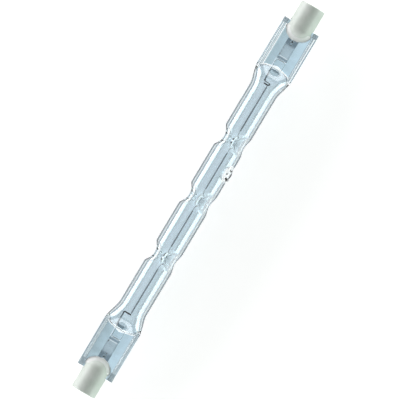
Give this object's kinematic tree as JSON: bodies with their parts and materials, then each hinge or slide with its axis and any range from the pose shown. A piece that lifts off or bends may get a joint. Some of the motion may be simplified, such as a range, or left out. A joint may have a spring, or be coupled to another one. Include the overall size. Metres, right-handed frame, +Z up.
{
  "type": "linear halogen lamp",
  "caption": "Double-ended linear halogen lamp: quartz tube with flat pinched ends, dimple crimps, coiled filament and recessed-contact ceramic caps.",
  "frame": {"origin": "middle of the lamp, on the surface that it lies on, below the axis of the tube", "axes": "+X along the lamp towards the end whose inner lead has a hook, +Y in the plane of the flat pinches, +Z up from the surface and square to the pinches"},
  "size_m": [0.118, 0.0104, 0.008],
  "materials": {
    "quartz": "polished",
    "tungsten": "satin",
    "lead_wire": "satin",
    "molybdenum_foil": "satin",
    "lead_rod": "satin",
    "ceramic": "matt",
    "contact_metal": "polished",
    "cement": "matt"
  },
  "bodies": {
    "root": {"quartz_envelope": "quartz", "filament_coil": "tungsten", "inner_lead_left": "lead_wire", "inner_lead_right": "lead_wire", "seal_foil_left": "molybdenum_foil", "seal_foil_right": "molybdenum_foil", "outer_lead_left": "lead_rod", "outer_lead_right": "lead_rod", "ceramic_cap_left": "ceramic", "ceramic_cap_right": "ceramic", "contact_left": "contact_metal", "contact_right": "contact_metal", "cap_cement_left": "cement", "cap_cement_right": "cement"}
  },
  "joints": []
}
